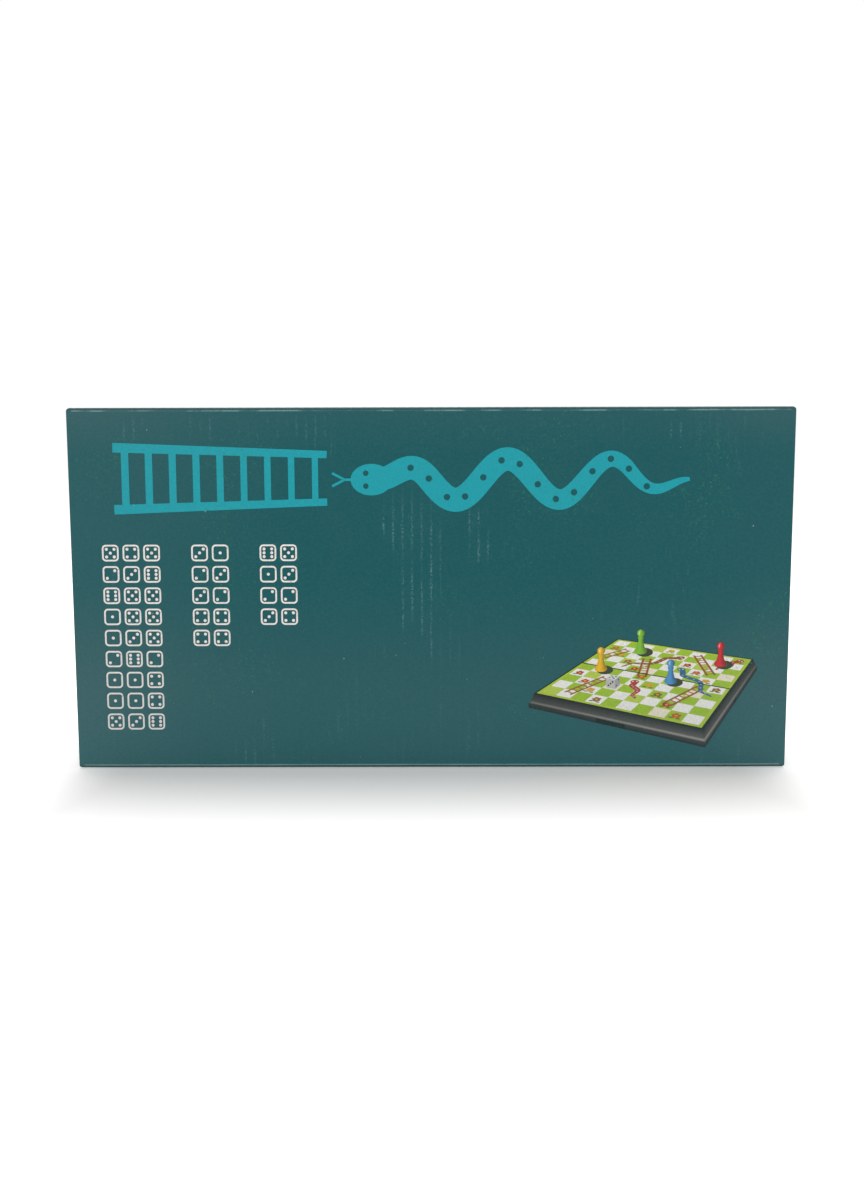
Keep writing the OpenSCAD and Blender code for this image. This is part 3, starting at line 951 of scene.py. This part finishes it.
def pawnPatches(foot, colour, layer):
    # A small turned pawn seen from above: radius over height, shaded across its width
    p, form = frontPrint, pawnForm
    size = form["tall"] * pictureScale / p["distance"]
    tip = np.radians(p["tip"])
    bead = np.linspace(-0.9, 1.5, 10)
    height = np.concatenate([form["height"], form["ballMiddle"] + form["ball"] * np.sin(bead)])
    radius = np.concatenate([form["radius"], form["ball"] * np.cos(bead)])
    u = np.linspace(-1, 1, 15)[None, :]
    r, v = radius[:, None] * size, height[:, None] * size * np.cos(tip)
    base = inPicture(np.array([foot[0], foot[1], 0.0]))
    points = np.stack([base[0] + u * r, base[1] + v - np.sqrt(1 - u**2) * r * np.sin(tip)], -1)
    light = 0.44 + 0.70 * np.cos(np.clip((u + 0.35) * 1.25, -1.5, 1.5)) + 0 * v
    shine = 0.55 * np.exp(-(((u + 0.42) / 0.17) ** 2)) * np.exp(-(((height[:, None] - 0.9) / 0.07) ** 2))
    tone = inkColour(colour) * light[..., None] + shine[..., None]
    place, radii = np.array(form["shadow"]) * size
    shade = discPatch(base + place, radii, form["shadowInk"], layer)
    return [shade, patch(points, np.clip(tone, 0, 1), layer + 1)]


def pictureDiePatches(centre, layer):
    # Three seen faces of a die on the board, with their pips
    half = frontPrint["pictureDie"] / 2
    middle = np.array([centre[0], centre[1], half])
    white = inkColour(frontPrint["dieWhite"])
    for u, v, w, tone, count in (
        ((1, 0, 0), (0, 1, 0), (0, 0, 1), 1.0, 5),
        ((1, 0, 0), (0, 0, 1), (0, -1, 0), 0.72, 3),
        ((0, 1, 0), (0, 0, 1), (1, 0, 0), 0.5, 2),
    ):
        u, v, w = np.array([u, v, w]) * half
        face = np.array([middle + w - u - v, middle + w + u - v, middle + w + u + v, middle + w - u + v])
        yield quadPatch(inPicture(face), white * tone, layer)
        ring = discGrid(4)[..., None] * 0.2
        for a, b in pipPlaces(count):
            spot = middle + w + u * (a + ring[..., 0, :]) + v * (b + ring[..., 1, :])
            yield patch(inPicture(spot), frontPrint["pipInk"], layer + 1)


def picturePatches():
    # The board's sides, the game on it, its fold, a die and a pawn of each colour
    yield from boardSidePatches()
    for points, colour, layer in gamePatches():
        yield inPicture(onBoard(points)), colour, layer + 2
    fold = onBoard(np.stack([np.linspace(-0.5, 0.5, 12), np.zeros(12)], -1))
    yield strokePatch(inPicture(fold), frontPrint["fold"], frontPrint["foldInk"], 10)
    yield from pictureDiePatches(squarePlace(3, 2), 11)
    for ink, foot in frontPrint["pawns"]:
        yield from pawnPatches(squarePlace(*foot), pawnInks[ink], 11)


def addFrontPrint():
    # One film of ink on the front's own relief
    patches = [*topPatches(), *dicePatches(), *picturePatches()]
    film = patchPiece("front_print", patches, frontPlace, inkedPaper)
    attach(film, "carton")


addFrontPrint()
print("the front is printed")


# Inside the carton: the folded board, its plates, sheets and pins, and the playing pieces
inside = dict(
    black=(30, 30, 32), steel=(178, 180, 183), magnet=(66, 66, 70), paper=(226, 226, 212),
    ivory=(236, 235, 229), pip=(26, 26, 28), sheetLift=0.02, sheetPile=0.008,
)


def mouldedPlastic(name, tone, rough, grain, relief):
    # Moulded plastic: faint flow clouds in the colour, a fine tool grain in gloss and relief
    material, shader, place = newMaterial(name)
    flow = ramp(noise(place, 45, 3, stretch=(1, 1, 0.5)), 0.3, 0.7, 0.0, 0.3)
    pale = tuple(min(255, v * 1.12 + 8) for v in tone)
    skin = noise(place, grain, 2)
    colour = blendColour(flow, srgb(*tone), srgb(*pale))
    dress(shader, colour, ramp(skin, 0.25, 0.75, rough - 0.05, rough + 0.09))
    bump(shader, skin, relief, 0.00006)
    return material


def brushedMetal(name, tone, rough):
    # Rolled metal: long thin lines across the sheet vary its tone and gloss
    material, shader, place = newMaterial(name)
    lines = noise(place, 1500, 2, stretch=(0.02, 1, 1))
    dull = tuple(v * 0.82 for v in tone)
    colour = blendColour(lines, srgb(*dull), srgb(*tone))
    dress(shader, colour, ramp(lines, 0.2, 0.8, rough - 0.08, rough + 0.12), metal=1.0)
    bump(shader, lines, 0.1, 0.00003)
    return material


def sheetPaper(name, inked=False):
    # Matt coated paper with a fine fibre relief, in its own tone or the piece's inks
    material, shader, place = newMaterial(name)
    colour = pointInk(shader) if inked else srgb(*inside["paper"])
    fibre = noise(place, 1700, 3)
    shade = ramp(fibre, 0.3, 0.7, 0.0, 0.06)
    colour = blendColour(shade, colour, (0.35, 0.35, 0.3, 1))
    dress(shader, colour, ramp(fibre, 0.3, 0.7, 0.42, 0.55))
    bump(shader, fibre, 0.08, 0.00005)
    return material


def diePlastic():
    # White plastic with dark paint in the dimples: inside the faces and inside the corners' ball
    low, high = nodeBox("die")
    middle, side = (low + high) / 2 * mm, (high - low)[0] * mm
    material = mouldedPlastic("diePlastic", inside["ivory"], 0.25, 700, 0.05)
    made = material.node_tree.nodes
    paint = made["Principled BSDF"].inputs["Base Color"]
    place = made["Texture Coordinate"].outputs["Object"]
    shifted = addNode("VectorMath", {0: place, 1: middle}, operation="SUBTRACT")[0]
    away = addNode("VectorMath", {0: shifted}, operation="LENGTH")["Value"]
    x, y, z = (calc("ABSOLUTE", v) for v in splitPlace(shifted))
    furthest = calc("MAXIMUM", calc("MAXIMUM", x, y), z)
    sunk = ramp(furthest, side / 2 - 0.12 * mm, side / 2 - 0.05 * mm, 1.0, 0.0)
    painted = product(sunk, ramp(away, side * 0.70, side * 0.71, 1.0, 0.0))
    put(paint, blendColour(painted, paint.links[0].from_socket, srgb(*inside["pip"])))
    return material


def finishInside():
    # One material for each node, in place of the frame's own
    black = mouldedPlastic("blackPlastic", inside["black"], 0.48, 2400, 0.30)
    steel = brushedMetal("rolledSteel", inside["steel"], 0.30)
    magnet = brushedMetal("magnetPlate", inside["magnet"], 0.42)
    paper = sheetPaper("sheetPaper")
    finish = {"hinge_pins": steel, "pawn_magnets": magnet, "seam_tab": insideLiner, "die": diePlastic()}
    for half in ("front_", "back_"):
        for part, material in (("half_shell", black), ("steel_plate", steel), ("play_sheet", paper)):
            finish[half + part] = material
    for ink, tone in pawnInks.items():
        finish[ink + "_pawn"] = mouldedPlastic(ink + "PawnPlastic", tone, 0.20, 900, 0.06)
    for node, material in finish.items():
        nodes[node].data.materials.clear()
        nodes[node].data.materials.append(material)


def addSheetPrints():
    # Each half of the game lies on its own sheet, its fold along the top of the folded board
    ink = sheetPaper("sheetInk", inked=True)
    design = [*gamePatches(), *numberPatches(8)]
    for node, side in (("front_play_sheet", -1), ("back_play_sheet", 1)):
        low, high = nodeBox(node)
        wide, tall = (high[0] - low[0]) / (2 * game["sheet"]), (high[2] - low[2]) / game["sheet"]
        face = low[1] if side < 0 else high[1]

        def sheetPlace(a, b, layer):
            lift = inside["sheetLift"] + inside["sheetPile"] * layer
            return np.stack([a * wide, np.full(a.shape, face + side * lift), high[2] - np.abs(b) * tall], -1)

        def ownHalf(middle):
            return middle[:, 1] * side > 0

        film = patchPiece(node + "_print", design, sheetPlace, ink, keep=ownHalf)
        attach(film, "carton")


finishInside()
addSheetPrints()
print("the board and the playing pieces are finished")


# Floor, backdrop and soft light
studio = dict(
    floorHalf=6.0, floorDrop=0.02, floorTone=(0.93, 0.91, 0.905, 1), floorShade=(0.9, 0.88, 0.88, 1),
    floorLift=0.12, farLift=0.45, beside=(0.84, 1.18), beyond=(0.04, 0.17), worldStrength=0.50,
    keyPower=9.6, keyPlace=(0.04, 0.38, 1.25), keySize=(1.1, 0.65),
    fillPower=5.0, fillPlace=(-0.15, -1.35, 0.6), fillSize=(1.4, 0.8),
)


def seenRay(shader):
    # One for rays from the camera, straight or by a mirror or glass, and nought for lighting
    ray = shader.id_data.nodes.new("ShaderNodeLightPath").outputs
    seen = calc("ADD", ray["Is Camera Ray"], ray["Is Glossy Ray"], clamp=True)
    return calc("ADD", seen, ray["Is Transmission Ray"], clamp=True)


def addStudio():
    # A matt floor that glows to the camera, more beside and beyond the carton, a white world and two lamps
    size, drop = studio["floorHalf"] / mm, -studio["floorDrop"]
    corners = onBoard(rectangle(-size, -size, size, size), drop)
    floorPaint, shader, place = newMaterial("floorPaint")
    shade = ramp(noise(place, 3, 1), 0.0, 1.0, 0.97, 1.0)
    dress(shader, blendColour(shade, studio["floorShade"], studio["floorTone"]), 0.9, 0.1)
    put(shader.inputs["Emission Color"], (1, 1, 1, 1))
    x, y, _ = (calc("ABSOLUTE", v) for v in splitPlace(place))
    beside = ramp(x, *(halfLength * mm * share for share in studio["beside"]), 0.0, studio["farLift"])
    beyond = ramp(y, *studio["beyond"], 0.0, studio["farLift"])
    lift = calc("ADD", calc("MAXIMUM", beside, beyond), studio["floorLift"])
    put(shader.inputs["Emission Strength"], product(seenRay(shader), lift))
    floor = makePiece("floor", [(corners, np.array([[0, 1, 2, 3]]), 0)], [floorPaint])
    world = bpy.data.worlds.new("studioWorld")
    scene.world = world
    world.use_nodes = True
    background = world.node_tree.nodes["Background"]
    put(background.inputs["Strength"], ramp(seenRay(background), 0, 1, studio["worldStrength"], 1.0))
    put(background.inputs["Color"], (1, 1, 1, 1))
    for lamp in ("key", "fill"):
        light = bpy.data.lights.new(lamp + "Light", "AREA")
        light.energy = studio[lamp + "Power"]
        light.shape = "RECTANGLE"
        light.size, light.size_y = studio[lamp + "Size"]
        panel = bpy.data.objects.new(light.name, light)
        scene.collection.objects.link(panel)
        panel.location = studio[lamp + "Place"]
        if lamp == "fill":
            panel.rotation_euler = (-panel.location).to_track_quat("-Z", "Y").to_euler()


addStudio()
scene.view_settings.view_transform = "Standard"
